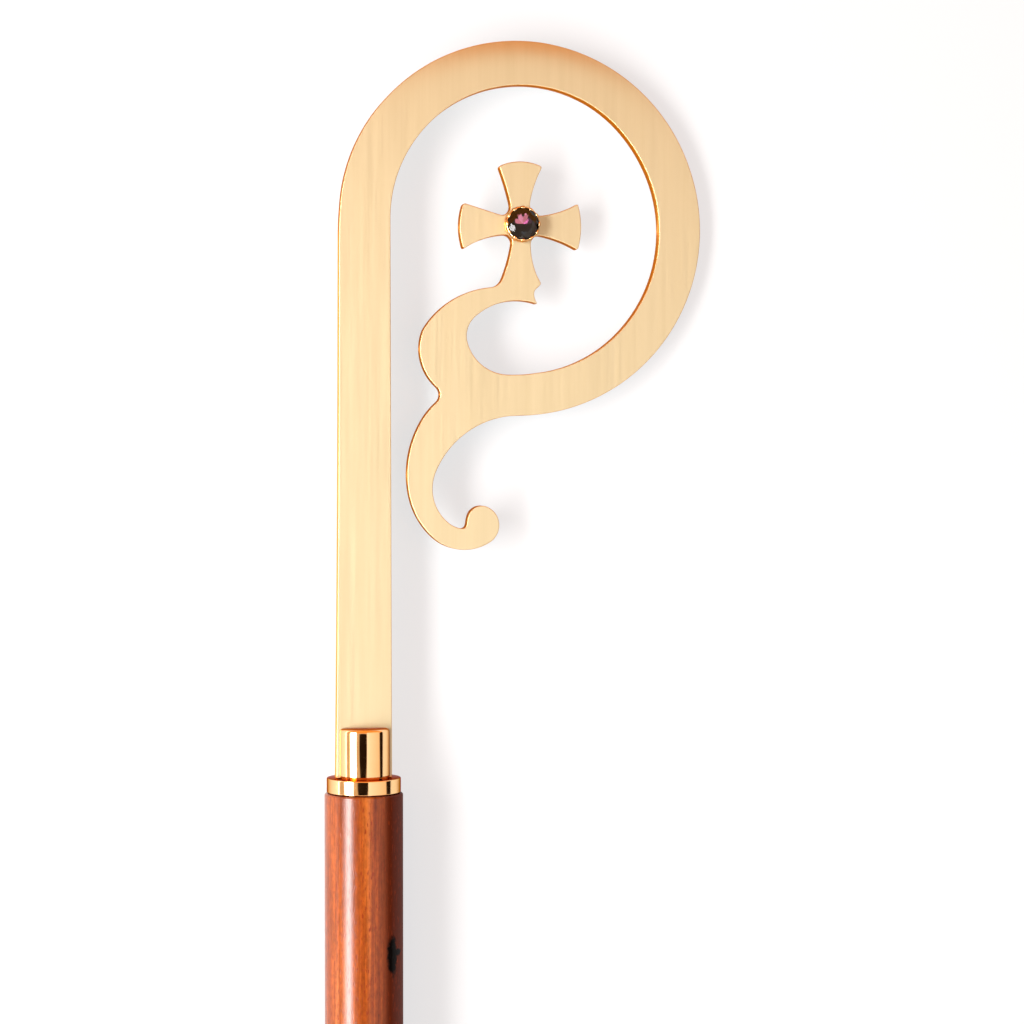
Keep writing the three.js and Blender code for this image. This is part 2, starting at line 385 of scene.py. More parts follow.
bpy.context.scene.view_settings.look = "None"
print(f"room: {len(surroundings.nodes)} nodes")

# %% [markdown]
# ## The table
#
# The table is a sheet of opal acrylic lit from below, as a light table is. Its surface is matt
# and only mid grey to the lamps, and its own soft glow brings it up to white. So the ground
# stays pale, the shadows stay soft and grey, and the lamps can be set for the brass alone.

# %% Table
TABLE_HALF = 12.0  # metres
TABLE_CORNERS = [(-1, -1), (1, -1), (1, 1), (-1, 1)]
table = mesh_object(
    "table",
    [(x * TABLE_HALF, y * TABLE_HALF, 0) for x, y in TABLE_CORNERS],
    [(0, 1, 2, 3)],
)
opal_acrylic, _, opal_shader = new_material("opal_acrylic_light_table")
opal_shader.inputs["Base Color"].default_value = linear("#767676")
opal_shader.inputs["Roughness"].default_value = 0.9
opal_shader.inputs["Emission Color"].default_value = linear("#f6fbff")
opal_shader.inputs["Emission Strength"].default_value = 0.68
table.data.materials.append(opal_acrylic)
print(f"table: {2 * TABLE_HALF:.0f} m square")

# %% [markdown]
# ## Satin brass
#
# The crook is sawn from brass plate, and its faces are rubbed lengthways with an abrasive belt
# and then lacquered. The belt leaves fine parallel scratches, so the metal stays bright but
# shows no clear image: reflections smear across the scratches and stay tighter along them.
# That is anisotropy, with the tangent set across the staff. Scratches of a 240 grit belt are
# about 0.05 mm wide, too fine to see from a metre, so the drawn ones are a few times coarser.
# The narrow sides were sawn and filed instead, and are painted darker and browner than the
# faces: painted shade for the dim room they mirror. The mesh marks them with an attribute named "side".


# %% Satin brass for the crook
def satin_brass():
    """Brass plate, belted and lacquered: bright and even, with reflections drawn out sideways."""
    material, tree, shader = new_material("satin_brass")
    where = add_node(tree, "ShaderNodeTexCoord")
    # One cycle of this noise is a scratch 0.35 mm wide and 45 mm long, drawn coarse to show.
    stretched = add_node(
        tree,
        "ShaderNodeMapping",
        {"Vector": where.outputs["Object"], "Scale": (1 / 0.00035, 1 / 0.045, 1 / 0.00035)},
    )
    scratches = add_node(
        tree,
        "ShaderNodeTexNoise",
        {"Vector": stretched.outputs["Vector"], "Scale": 1.0, "Detail": 3.0, "Roughness": 0.6},
    )
    # Broad streaks, about 3 mm wide, where the belt pressed harder.
    broad = add_node(
        tree,
        "ShaderNodeMapping",
        {"Vector": where.outputs["Object"], "Scale": (1 / 0.003, 1 / 0.08, 1 / 0.003)},
    )
    streaks = add_node(
        tree,
        "ShaderNodeTexNoise",
        {"Vector": broad.outputs["Vector"], "Scale": 1.0, "Detail": 2.0, "Roughness": 0.5},
    )
    face_colour = add_node(
        tree,
        "ShaderNodeMix",
        {"Factor": streaks.outputs["Fac"], "A": linear("#c5b590"), "B": linear("#d0c19e")},
        data_type="RGBA",
    )
    # The narrow sides were only filed and polished; their darker, browner colour is painted shade.
    side = add_node(tree, "ShaderNodeAttribute", attribute_name="side")
    colour = add_node(
        tree,
        "ShaderNodeMix",
        {"Factor": side.outputs["Fac"], "A": face_colour.outputs[2], "B": linear("#d99a50")},
        data_type="RGBA",
    )
    # Seen along its surface, a side turns orange brown instead of white: painted shade in its
    # reflection.
    glancing = add_node(
        tree,
        "ShaderNodeMix",
        {"Factor": side.outputs["Fac"], "A": linear("#ffffff"), "B": linear("#cf8844")},
        data_type="RGBA",
    )
    roughness = add_node(
        tree,
        "ShaderNodeMapRange",
        {
            "Value": scratches.outputs["Fac"],
            "From Min": 0.3,
            "From Max": 0.7,
            "To Min": 0.38,
            "To Max": 0.48,
        },
    )
    bump = add_node(
        tree,
        "ShaderNodeBump",
        {"Height": scratches.outputs["Fac"], "Strength": 0.25, "Distance": 0.00002},
    )
    across = add_node(tree, "ShaderNodeCombineXYZ", {"X": 1.0, "Y": 0.0, "Z": 0.0})
    tree.links.new(colour.outputs[2], shader.inputs["Base Color"])
    tree.links.new(roughness.outputs["Result"], shader.inputs["Roughness"])
    tree.links.new(bump.outputs["Normal"], shader.inputs["Normal"])
    tree.links.new(across.outputs["Vector"], shader.inputs["Tangent"])
    tree.links.new(glancing.outputs[2], shader.inputs["Specular Tint"])
    shader.inputs["Metallic"].default_value = 1.0
    shader.inputs["Anisotropic"].default_value = 0.75
    return material


SATIN_BRASS = print_material(satin_brass())

# %% [markdown]
# ## Polished brass
#
# The socket, the stone's setting and the ferrule were turned on a lathe, polished on a wheel and
# lacquered. The finish is close to a mirror, with very faint rings round the axis left by the
# tool and the wheel, and a little haze where the lacquer is uneven.


# %% Polished brass for the turned pieces
def polished_brass():
    """Turned brass, wheel polished and lacquered: sharp stripes of dark and light."""
    material, tree, shader = new_material("polished_brass")
    where = add_node(tree, "ShaderNodeTexCoord")
    # Rings about 0.4 mm apart along the axis; real ones are near 0.1 mm, too fine to show.
    squashed = add_node(
        tree,
        "ShaderNodeMapping",
        {"Vector": where.outputs["Object"], "Scale": (1 / 0.02, 1 / 0.0004, 1 / 0.02)},
    )
    rings = add_node(
        tree,
        "ShaderNodeTexNoise",
        {"Vector": squashed.outputs["Vector"], "Scale": 1.0, "Detail": 2.0, "Roughness": 0.5},
    )
    # The lacquer's haze lies in patches about 6 mm wide.
    haze = add_node(
        tree,
        "ShaderNodeTexNoise",
        {"Vector": where.outputs["Object"], "Scale": 1 / 0.006, "Detail": 3.0, "Roughness": 0.6},
    )
    colour = add_node(
        tree,
        "ShaderNodeMix",
        {"Factor": haze.outputs["Fac"], "A": linear("#f6ca90"), "B": linear("#fad29c")},
        data_type="RGBA",
    )
    roughness = add_node(
        tree,
        "ShaderNodeMapRange",
        {
            "Value": haze.outputs["Fac"],
            "From Min": 0.3,
            "From Max": 0.75,
            "To Min": 0.05,
            "To Max": 0.11,
        },
    )
    bump = add_node(
        tree,
        "ShaderNodeBump",
        {"Height": rings.outputs["Fac"], "Strength": 0.08, "Distance": 0.00002},
    )
    tree.links.new(colour.outputs[2], shader.inputs["Base Color"])
    tree.links.new(roughness.outputs["Result"], shader.inputs["Roughness"])
    tree.links.new(bump.outputs["Normal"], shader.inputs["Normal"])
    shader.inputs["Metallic"].default_value = 1.0
    # The colour at a glancing angle is brown instead of white: painted shade in the rims' reflection.
    shader.inputs["Specular Tint"].default_value = linear("#a04c1c")
    return material


POLISHED_BRASS = print_material(polished_brass())

# %% [markdown]
# ## The crook
#
# The crook is one flat plate, sawn to a long outline. The CAD solid has square edges; on the
# real one they are eased by the polisher, and that soft edge draws the thin light and dark
# lines round the shape. A Bevel modifier would collide with itself at the scroll's sharp tips,
# so the edge is built here as rings: each ring follows the outline a little further in, and
# where the outline turns too tightly the ring stops short.

# %% The outline of the plate
RIM = 0.32 * MM  # how far the polisher rounded the edges
OUTLINE_STEP = 1.2 * MM
CORNER_DEGREES = 16.0  # a sharper turn than this between two chords is a corner


def plate_outline():
    """The plate's outline in the head's frame, counterclockwise, and its half thickness."""
    bm = bmesh.new()
    bm.from_mesh(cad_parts["crook_plate"].data)
    bm.transform(HEAD.inverted())
    bmesh.ops.remove_doubles(bm, verts=bm.verts, dist=TOUCHING)
    half = max(v.co.z for v in bm.verts)
    front = {f for f in bm.faces if all(v.co.z > 0.9 * half for v in f.verts)}
    following = {}
    for face in front:
        for loop in face.loops:
            if sum(f in front for f in loop.edge.link_faces) == 1:
                following[loop.vert] = loop.link_loop_next.vert
    walk = [next(iter(following))]
    while following[walk[-1]] is not walk[0]:
        walk.append(following[walk[-1]])
    points = np.array([(v.co.x, v.co.y) for v in walk])
    bm.free()
    return points, half


def turn_angles(points):
    """The turn at each point of a closed line, in degrees, positive to the left."""
    before = points - np.roll(points, 1, axis=0)
    after = np.roll(points, -1, axis=0) - points
    cross = before[:, 0] * after[:, 1] - before[:, 1] * after[:, 0]
    dot = (before * after).sum(axis=1)
    return np.degrees(np.arctan2(cross, dot))


def smoothed_outline(points, step):
    """More points along the arcs, on a smooth curve through the ones that are there."""
    count = len(points)
    corner = np.abs(turn_angles(points)) > CORNER_DEGREES
    result = []
    for i in range(count):
        p1, p2 = points[i], points[(i + 1) % count]
        p0 = 2 * p1 - p2 if corner[i] else points[i - 1]
        p3 = 2 * p2 - p1 if corner[(i + 1) % count] else points[(i + 2) % count]
        length = np.linalg.norm(p2 - p1)
        pieces = max(1, math.ceil(length / step))
        # Tangents scaled to this chord, so that a long neighbour doesn't pull the curve out.
        start_way = (p2 - p0) / np.linalg.norm(p2 - p0) * length
        end_way = (p3 - p1) / np.linalg.norm(p3 - p1) * length
        for k in range(pieces):
            t = k / pieces
            a = 2 * t**3 - 3 * t**2 + 1
            b = t**3 - 2 * t**2 + t
            c = -2 * t**3 + 3 * t**2
            d = t**3 - t**2
            result.append(a * p1 + b * start_way + c * p2 + d * end_way)
    return np.array(result)


rough_outline, HALF_PLATE = plate_outline()
outline = smoothed_outline(rough_outline, OUTLINE_STEP)
print(f"outline: {len(rough_outline)} points, {len(outline)} smoothed")

# %% Rings that follow the outline inward
RIM_STEPS = 4
HOLD = 0.2 * MM  # one more flat ring, so that the face shades flat right up to the rim
SHARPEST_MITRE = 0.6  # keeps a ring's corner from shooting far in at a sharp tip
SAFE_SHARE = 0.8  # of the largest circle that fits inside the outline at a point
EVENING_PASSES = 4


def inward_normals(points):
    """The inward normal at each point, lengthened at corners so that rings stay parallel."""
    along = np.roll(points, -1, axis=0) - points
    along /= np.linalg.norm(along, axis=1)[:, None]
    side = np.stack([-along[:, 1], along[:, 0]], axis=1)
    both = side + np.roll(side, 1, axis=0)
    both /= np.linalg.norm(both, axis=1)[:, None]
    stretch = 1 / np.maximum((both * side).sum(axis=1), SHARPEST_MITRE)
    return both * stretch[:, None]


def ring_reach(points, normals, wanted):
    """How far in the rings can go at each point without meeting rings from another side."""
    unit = normals / np.linalg.norm(normals, axis=1)[:, None]
    reach = np.full(len(points), wanted)
    for i, (point, way) in enumerate(zip(points, unit)):
        gaps = points - point
        ahead = gaps @ way
        facing = ahead > NEARLY_ZERO
        # The largest circle that touches the outline here and holds no other point of it.
        largest = ((gaps[facing] ** 2).sum(axis=1) / (2 * ahead[facing])).min()
        reach[i] = min(wanted, SAFE_SHARE * largest)
    nearby = [np.roll(reach, k) for k in (-1, 0, 1)]
    reach = np.min(nearby, axis=0)
    for _ in range(EVENING_PASSES):
        mean = (np.roll(reach, 1) + np.roll(reach, -1)) / 2
        reach = np.minimum(reach, (reach + mean) / 2)
    return reach


# %% [markdown]
# ## The crook's faces
#
# Between the rings the plate is flat, but not quite: the top of the crown is rubbed over towards
# its outer edge, so it leans away and mirrors the orange end of the room. A flat cap of a few
# long faces couldn't bend like that. A grid of points is laid over the face instead, and a
# Delaunay triangulation, which keeps to the last ring, joins them with well shaped triangles.

# %% Faces of the plate
GRID = 2.5 * MM
CLEAR_OF_RING = 0.45 * GRID  # nearer than this to the ring, a grid point makes a sliver
CROWN_MIDDLE = (64.4 * MM, 225.3 * MM)
CROWN_RADIUS = 74.8 * MM
ROLL_WIDTH = 12 * MM  # the crown's top is rubbed over this far in
ROLL_DEPTH = 0.8 * MM


def inside(points, polygon):
    """Which points lie inside a polygon."""
    x, y = points[:, 0][:, None], points[:, 1][:, None]
    ax, ay = polygon[:, 0][None], polygon[:, 1][None]
    bx, by = np.roll(polygon[:, 0], -1)[None], np.roll(polygon[:, 1], -1)[None]
    spans = (ay > y) != (by > y)
    with np.errstate(divide="ignore", invalid="ignore"):
        crossing = ax + (y - ay) * (bx - ax) / (by - ay)
    return (spans & (x < crossing)).sum(axis=1) % 2 == 1


def distance_to(points, polygon):
    """Distance from each point to the nearest corner of a finely stepped polygon."""
    gaps = points[:, None, :] - polygon[None]
    return np.sqrt((gaps**2).sum(axis=2)).min(axis=1)


def rolled_over(points):
    """How far the front face sinks near the crown's top edge."""
    away = points - np.array(CROWN_MIDDLE)
    radius = np.linalg.norm(away, axis=1)
    upward = np.maximum(away[:, 1] / radius, 0)
    near_edge = np.clip(1 - (CROWN_RADIUS - radius) / ROLL_WIDTH, 0, 1)
    return ROLL_DEPTH * near_edge**3 * upward**5


def crook_mesh():
    """Points, faces and the side mark of the plate: rings round its edge and two filled faces."""
    normals = inward_normals(outline)
    reach = ring_reach(outline, normals, RIM + HOLD)
    share = reach / (RIM + HOLD)
    rings = []  # (distance in, height below the face) for one side
    for k in range(RIM_STEPS + 1):
        turn = math.radians(90 * k / RIM_STEPS)
        rings.append((RIM * (1 - math.cos(turn)), RIM * (1 - math.sin(turn))))
    rings.append((RIM + HOLD, 0))

    count = len(outline)
    points, sides, faces = [], [], []
    loops = [("back", i) for i in reversed(range(len(rings)))]
    loops += [("front", i) for i in range(len(rings))]
    for surface, i in loops:
        distance, below = rings[i]
        flat = outline + normals * (share * distance)[:, None]
        if surface == "front":
            height = HALF_PLATE - below - rolled_over(flat)
        else:
            height = np.full(count, -HALF_PLATE + below)
        points.append(np.column_stack([flat, height]))
        # 1 on the sawn side, fading out over the rounding.
        sides += [max(0.0, 1 - i / RIM_STEPS)] * count
    for k in range(len(loops) - 1):
        low, high = k * count, (k + 1) * count
        for i in range(count):
            j = (i + 1) % count
            faces.append((low + i, low + j, high + j, high + i))

    last_ring = points[-1][:, :2]
    x_low, y_low = last_ring.min(axis=0)
    x_high, y_high = last_ring.max(axis=0)
    grid_x, grid_y = np.meshgrid(np.arange(x_low, x_high, GRID), np.arange(y_low, y_high, GRID))
    grid = np.column_stack([grid_x.ravel(), grid_y.ravel()])
    grid = grid[inside(grid, last_ring)]
    grid = grid[distance_to(grid, last_ring) > CLEAR_OF_RING]
    flat_points = [Vector(p) for p in np.vstack([last_ring, grid])]
    border = [(i, (i + 1) % count) for i in range(count)]
    filled = geometry.delaunay_2d_cdt(flat_points, border, [], 1, NEARLY_ZERO)
    ring_starts = {"back": 0, "front": (len(loops) - 1) * count}
    for surface in ("back", "front"):
        if surface == "front":
            height = HALF_PLATE - rolled_over(grid)
        else:
            height = np.full(len(grid), -HALF_PLATE)
        first = sum(len(p) for p in points)
        points.append(np.column_stack([grid, height]))
        sides += [0.0] * len(grid)
        for triangle in filled[2]:
            corners = []
            for v in triangle:
                original = filled[3][v][0]
                inner = original >= count
                corners.append(first + original - count if inner else ring_starts[surface] + original)
            faces.append(tuple(corners if surface == "front" else reversed(corners)))
    return np.vstack(points), faces, sides


crook_points, crook_faces, crook_sides = crook_mesh()
crook = mesh_object("crook", crook_points, crook_faces, HEAD)
side_mark = crook.data.attributes.new("side", "FLOAT", "POINT")
side_mark.data.foreach_set("value", np.array(crook_sides, np.float32))
tidy_mesh(crook, 50)
crook.data.materials.append(SATIN_BRASS)
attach(crook, "root")
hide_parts("crook_plate")

# %% [markdown]
# ## Turned pieces
#
# Socket, staff and ferrule all came off a lathe, so each is one profile carried round the
# staff's axis. A real lathe part has no perfectly sharp edge: the profile's corners are
# rounded by a few tenths of a millimetre, and the light runs along those roundings as thin
# bright lines. A profile below is a list of corners: radius, height and rounding in mm.


# %% A lathe in a few lines
ROUNDING_STEPS = 4


def rounded_profile(corners):
    """(radius, height, rounding) corners in mm to a line of points with small arcs."""
    places = [Vector((r, h)) * MM for r, h, _ in corners]
    line = []
    for i, (_, _, rounding) in enumerate(corners):
        here = places[i]
        if not rounding or i in (0, len(corners) - 1):
            line.append(here)
            continue
        before = (places[i - 1] - here).normalized()
        after = (places[i + 1] - here).normalized()
        first = here + before * rounding * MM
        last = here + after * rounding * MM
        for k in range(ROUNDING_STEPS + 1):
            t = k / ROUNDING_STEPS
            line.append(first.lerp(here, t).lerp(here.lerp(last, t), t))
    return line


def turned_mesh(line, sides, axis_along_z=False):
    """Points and faces of a profile carried round its axis; profile ends lie on the axis."""
    points, faces = [], []
    for radius, height in line:
        for k in range(sides):
            turn = 2 * math.pi * k / sides
            across, through = radius * math.cos(turn), radius * math.sin(turn)
            points.append((across, through, height) if axis_along_z else (across, height, through))
    for row in range(len(line) - 1):
        for k in range(sides):
            a, b = row * sides + k, row * sides + (k + 1) % sides
            faces.append((a, b, b + sides, a + sides))
    return points, faces


# %% [markdown]
# ## The socket
#
# Collar and boss are one turned piece, with a small groove where they meet. A slot is milled
# across the boss, and the plate's stem stands in it. A Boolean cut would do, but a plane cut is
# simpler and cleaner here: the boss is turned whole, cut by a plane at each side of the slot,
# and the two D-shaped halves that are left get flat walls and stand on the collar.

# %% Socket
COLLAR_PROFILE = [
    (0, -5.8, 0),
    (14.8, -5.8, 0.15),
    (15.1, -5.5, 0.2),
    (15.1, -0.15, 0.15),
    (14.95, 0.15, 0.15),
    (0, 0.15, 0),
]
BOSS_PROFILE = [
    (0, -0.4, 0),
    (10.3, -0.4, 0),
    (10.3, 0.7, 0.1),
    (10.7, 0.8, 0.08),
    (10.7, 19.2, 0.5),
    (10.35, 20.0, 0.4),
    (9.5, 20.5, 0.4),
    (0, 20.5, 0),
]
SOCKET_SIDES = 192
SLOT_HALF = 3.3 * MM


def cut_half(source, side):
    """The part of a mesh beyond one wall of the slot, closed with a flat wall."""
    half = source.copy()
    plane = half.verts[:] + half.edges[:] + half.faces[:]
    cut = bmesh.ops.bisect_plane(
        half,
        geom=plane,
        dist=SAME_PLACE,
        plane_co=(0, 0, side * SLOT_HALF),
        plane_no=(0, 0, side),
        clear_inner=True,
    )
    rim = [e for e in cut["geom_cut"] if isinstance(e, bmesh.types.BMEdge)]
    bmesh.ops.holes_fill(half, edges=rim)
    return half


def socket_mesh():
    """The collar with the two halves of the boss, each a closed shell, in the leaning place."""
    mesh = bpy.data.meshes.new("socket_slotted")
    whole = bmesh.new()
    for profile in (COLLAR_PROFILE, BOSS_PROFILE):
        points, faces = turned_mesh(rounded_profile(profile), SOCKET_SIDES)
        part = bpy.data.meshes.new("turned_part")
        part.from_pydata(points, [], faces)
        if profile is COLLAR_PROFILE:
            whole.from_mesh(part)
            continue
        boss = bmesh.new()
        boss.from_mesh(part)
        bmesh.ops.remove_doubles(boss, verts=boss.verts, dist=SAME_PLACE)
        for side in (-1, 1):
            half = cut_half(boss, side)
            half.to_mesh(part)
            whole.from_mesh(part)
            half.free()
        boss.free()
    whole.to_mesh(mesh)
    whole.free()
    mesh.transform(HEAD)
    return mesh


socket = bpy.data.objects.new("socket_slotted", socket_mesh())
bpy.context.scene.collection.objects.link(socket)
tidy_mesh(socket)
socket.data.materials.append(POLISHED_BRASS)
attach(socket, "root")
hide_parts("socket")

# %% [markdown]
# ## The stone's setting
#
# The stone sits in a small brass cup soldered on the cross. The cup's rim is cut into twelve
# claws that are pressed over the stone's edge. Twelve equal claws round a circle follow a
# rule, so Geometry Nodes make them: one soft little claw, stood on each point of a circle
# and turned to face outward. The cup itself is a turned profile. Inside, it is painted near
# black: painted shade under the stone, so that the stone looks dark.

# %% The cup
JEWEL_CENTRE = (64.6 * MM, 225.2 * MM)
SETTING_BASE = 3.3  # mm above the middle of the plate
CUP_PROFILE = [
    (0, 0.0, 0),
    (7.25, 0.0, 0.15),
    (7.3, 0.75, 0.3),
    (6.95, 1.2, 0.25),
    (6.95, 3.5, 0.2),
    (6.6, 3.75, 0.12),
    (6.6, 0.8, 0.3),
    (0, 0.8, 0),
]
CUP_SIDES = 144
CUP_INNER = 6.65  # mm; inside this radius and between these heights the cup is painted near black, as painted shade
BLACK_FROM, BLACK_TO = 0.5, 3.6  # mm

jewel_place = HEAD @ Matrix.Translation((*JEWEL_CENTRE, SETTING_BASE * MM))


def cup_lining_shade():
    """Brass painted dull and almost black inside the cup: painted shade, to set off the stone."""
    material, tree, shader = new_material("cup_lining_painted_shade")
    where = add_node(tree, "ShaderNodeTexCoord")
    # The near-black lining varies in patches about 2 mm wide.
    patches = add_node(
        tree,
        "ShaderNodeTexNoise",
        {"Vector": where.outputs["Object"], "Scale": 1 / 0.002, "Detail": 3.0, "Roughness": 0.6},
    )
    colour = add_node(
        tree,
        "ShaderNodeMix",
        {"Factor": patches.outputs["Fac"], "A": linear("#1a1210"), "B": linear("#3a2c26")},
        data_type="RGBA",
    )
    tree.links.new(colour.outputs[2], shader.inputs["Base Color"])
    shader.inputs["Roughness"].default_value = 0.45
    shader.inputs["Metallic"].default_value = 0.6
    return material


cup_points, cup_faces = turned_mesh(rounded_profile(CUP_PROFILE), CUP_SIDES, axis_along_z=True)
cup = mesh_object("setting_cup", cup_points, cup_faces, jewel_place)
tidy_mesh(cup)
cup.data.materials.append(POLISHED_BRASS)
cup.data.materials.append(print_material(cup_lining_shade()))
# Faces inside the cup take the near-black lining, painted shade under the stone.
for face in cup.data.polygons:
    local = jewel_place.inverted() @ face.center
    within = math.hypot(local.x, local.y) < CUP_INNER * MM
    face.material_index = int(within and BLACK_FROM * MM < local.z < BLACK_TO * MM)
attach(cup, "root")
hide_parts("jewel_setting")

# %% The claws, made by Geometry Nodes
CLAWS = {
    "Claws": 12,
    "Circle Radius": 6.75 * MM,
    "Claw Width": 2.3 * MM,
    "Claw Thickness": 1.1 * MM,
    "Claw Height": 2.6 * MM,
    "Inward Lean": math.radians(-14),
    "Metal": POLISHED_BRASS,
}
CLAW_MIDDLE = 3.3 * MM  # above the cup's foot


def claw_tree():
    """The node tree that stands claws on a circle. It draws nothing at random."""
    tree = bpy.data.node_groups.new("claws_round_a_stone", "GeometryNodeTree")
    kinds = {"Claws": "NodeSocketInt", "Metal": "NodeSocketMaterial"}
    for name in CLAWS:
        kind = kinds.get(name, "NodeSocketFloat")
        tree.interface.new_socket(name, in_out="INPUT", socket_type=kind)
    tree.interface.new_socket("Geometry", in_out="OUTPUT", socket_type="NodeSocketGeometry")
    given = add_node(tree, "NodeGroupInput")
    size = add_node(
        tree,
        "ShaderNodeCombineXYZ",
        {
            "X": given.outputs["Claw Thickness"],
            "Y": given.outputs["Claw Width"],
            "Z": given.outputs["Claw Height"],
        },
    )
    block = add_node(
        tree,
        "GeometryNodeMeshCube",
        {"Size": size.outputs["Vector"], "Vertices X": 2, "Vertices Y": 2, "Vertices Z": 3},
    )
    soft = add_node(tree, "GeometryNodeSubdivisionSurface", {"Mesh": block.outputs["Mesh"], "Level": 3})
    # Leaning about the circle's tangent presses the claw's tip over the stone.
    lean = add_node(tree, "ShaderNodeCombineXYZ", {"Y": given.outputs["Inward Lean"]})
    leaning = add_node(
        tree,
        "GeometryNodeTransform",
        {"Geometry": soft.outputs["Mesh"], "Rotation": lean.outputs["Vector"]},
    )
    circle = add_node(
        tree,
        "GeometryNodeMeshCircle",
        {"Vertices": given.outputs["Claws"], "Radius": given.outputs["Circle Radius"]},
    )
    index = add_node(tree, "GeometryNodeInputIndex")
    step = add_node(
        tree,
        "ShaderNodeMath",
        {0: 2 * math.pi, 1: given.outputs["Claws"]},
        operation="DIVIDE",
    )
    turn = add_node(
        tree,
        "ShaderNodeMath",
        {0: index.outputs["Index"], 1: step.outputs["Value"]},
        operation="MULTIPLY",
    )
    facing = add_node(tree, "ShaderNodeCombineXYZ", {"Z": turn.outputs["Value"]})
    placed = add_node(
        tree,
        "GeometryNodeInstanceOnPoints",
        {
            "Points": circle.outputs["Mesh"],
            "Instance": leaning.outputs["Geometry"],
            "Rotation": facing.outputs["Vector"],
        },
    )
    real = add_node(tree, "GeometryNodeRealizeInstances", {"Geometry": placed.outputs["Instances"]})
    painted = add_node(
        tree,
        "GeometryNodeSetMaterial",
        {"Geometry": real.outputs["Geometry"], "Material": given.outputs["Metal"]},
    )
    add_node(tree, "NodeGroupOutput", {"Geometry": painted.outputs["Geometry"]})
    return tree


# %% The claws as a plain mesh
def grown(name, tree, values, place):
    """A plain mesh object from a node tree; values are its inputs by name."""
    host = bpy.data.objects.new(name + "_host", bpy.data.meshes.new(name + "_host"))
    bpy.context.scene.collection.objects.link(host)
    modifier = host.modifiers.new("nodes", "NODES")
    modifier.node_group = tree
    for item in tree.interface.items_tree:
        if item.in_out == "INPUT" and item.name in values:
            modifier[item.identifier] = values[item.name]
    bpy.context.view_layer.update()
    mesh = bpy.data.meshes.new_from_object(host.evaluated_get(bpy.context.evaluated_depsgraph_get()))
    bpy.data.objects.remove(host)
    mesh.transform(place)
    piece = bpy.data.objects.new(name, mesh)
    bpy.context.scene.collection.objects.link(piece)
    return tidy_mesh(piece, 60)


claws_place = jewel_place @ Matrix.Translation((0, 0, CLAW_MIDDLE))
claws = grown("setting_claws", claw_tree(), CLAWS, claws_place)
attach(claws, "root")
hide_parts("jewel_setting")

# %% [markdown]
# ## The stone
#
# A round amethyst, or the cut glass that is often used for it, in the usual brilliant cut: a
# flat table, eight kite facets with eight small stars between them, sixteen triangles along
# the edge, and a pointed back. The facets are what makes it flash, so they are real and flat
# shaded. The points stand in rings, and each facet joins points of neighbouring rings.

# %% The stone's facets
STONE = {  # heights above the stone's point and radii, in mm
    "girdle_low": 1.9,
    "girdle_high": 2.2,
    "table": 3.9,
    "girdle_radius": 6.3,
    "table_radius": 3.7,
    "star_radius": 5.0,
    "pavilion_radius": 2.6,
}


def brilliant():
    """Points and faces of a round brilliant, in metres, with its back point at Z = 0."""
    s = {name: value * MM for name, value in STONE.items()}
    eighth = math.pi / 8
    points, faces = [], []

    def ring(radius, height, count, half_step=0.0):
        first = len(points)
        for k in range(count):
            turn = 2 * math.pi * (k + half_step) / count
            points.append((radius * math.cos(turn), radius * math.sin(turn), height))
        return first

    slope = (s["table"] - s["girdle_high"]) / (s["girdle_radius"] - s["table_radius"])
    kite_out = s["star_radius"] * math.cos(eighth) - s["table_radius"]
    star_height = s["table"] - kite_out * slope
    table_ring = ring(s["table_radius"], s["table"], 8)
    stars = ring(s["star_radius"], star_height, 8, 0.5)
    girdle_top = ring(s["girdle_radius"], s["girdle_high"], 16)
    girdle_low = ring(s["girdle_radius"], s["girdle_low"], 16)
    back_slope = s["girdle_low"] / s["girdle_radius"]
    main_height = s["pavilion_radius"] * math.cos(eighth) * back_slope
    mains = ring(s["pavilion_radius"], main_height, 8, 0.5)
    points.append((0, 0, 0))
    culet = len(points) - 1
    faces.append(tuple(table_ring + k for k in range(8)))
    for k in range(8):
        n = (k + 1) % 8
        faces.append((table_ring + k, stars + k, table_ring + n))
        faces.append((table_ring + k, stars + (k - 1) % 8, girdle_top + 2 * k, stars + k))
        faces.append((stars + k, girdle_top + 2 * k, girdle_top + 2 * k + 1))
        faces.append((stars + k, girdle_top + 2 * k + 1, girdle_top + (2 * k + 2) % 16))
        faces.append((culet, mains + k, girdle_low + 2 * k, mains + (k - 1) % 8))
        faces.append((mains + k, girdle_low + 2 * k + 1, girdle_low + 2 * k))
        faces.append((mains + k, girdle_low + (2 * k + 2) % 16, girdle_low + 2 * k + 1))
    for k in range(16):
        n = (k + 1) % 16
        faces.append((girdle_low + k, girdle_low + n, girdle_top + n, girdle_top + k))
    return points, faces
